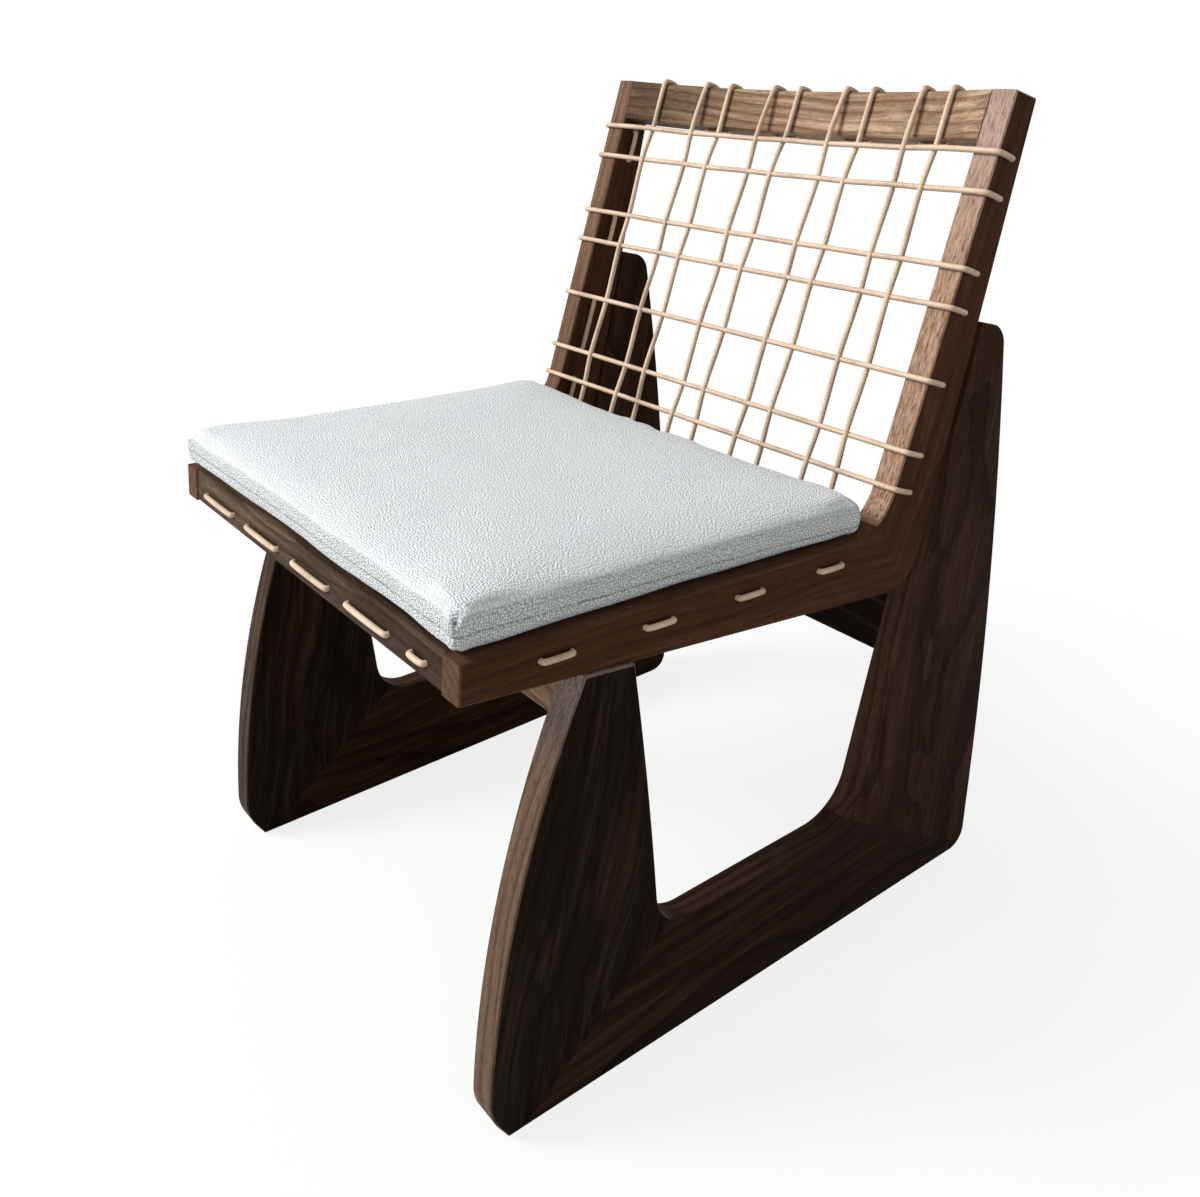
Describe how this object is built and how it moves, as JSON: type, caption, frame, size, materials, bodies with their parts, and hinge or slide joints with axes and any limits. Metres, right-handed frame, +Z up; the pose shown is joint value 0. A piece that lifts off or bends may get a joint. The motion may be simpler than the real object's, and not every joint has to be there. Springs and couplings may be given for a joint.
{
  "type": "easy chair",
  "caption": "Low easy chair with dark hardwood board leg frames, a reclined back and seat laced with leather cord, and a loose woven-fabric seat cushion.",
  "frame": {"origin": "on the floor, at the middle of the whole chair's width and depth", "axes": "+Z up, +Y from the chair's front to its back, +X to the sitter's left"},
  "size_m": [0.5416, 0.6064, 0.7762],
  "materials": {
    "leg_wood": "satin oiled dark walnut",
    "frame_wood": "satin oiled walnut",
    "joinery_wood": "plain",
    "cord": "round natural leather cord",
    "cushion_fabric": "matte basket weave"
  },
  "bodies": {
    "frame": {"front_leg_right": "leg_wood", "front_leg_left": "leg_wood", "runner_right": "leg_wood", "runner_left": "leg_wood", "back_leg_right": "leg_wood", "back_leg_left": "leg_wood", "seat_side_rail_right": "frame_wood", "seat_side_rail_left": "frame_wood", "back_post_right": "frame_wood", "back_post_left": "frame_wood", "toe_tongue_right": "joinery_wood", "toe_tongue_left": "joinery_wood", "heel_tongue_right": "joinery_wood", "heel_tongue_left": "joinery_wood", "side_tongue_right": "joinery_wood", "side_tongue_left": "joinery_wood", "front_dowel_right": "joinery_wood", "front_dowel_left": "joinery_wood", "upper_back_dowel_right": "joinery_wood", "upper_back_dowel_left": "joinery_wood", "lower_back_dowel_right": "joinery_wood", "lower_back_dowel_left": "joinery_wood", "front_rail": "frame_wood", "rear_seat_rail": "frame_wood", "top_rail": "frame_wood", "front_stretcher": "leg_wood", "rear_stretcher": "leg_wood", "back_row_cord": "cord", "upright_cord": "cord", "seat_row_cord": "cord"},
    "cushion": {"seat_cushion": "cushion_fabric"}
  },
  "joints": [
    {"name": "cushion_lift", "type": "slide", "parent": "frame", "child": "cushion", "axis": [0, 0, 1], "range_m": [0, 0.08]}
  ]
}
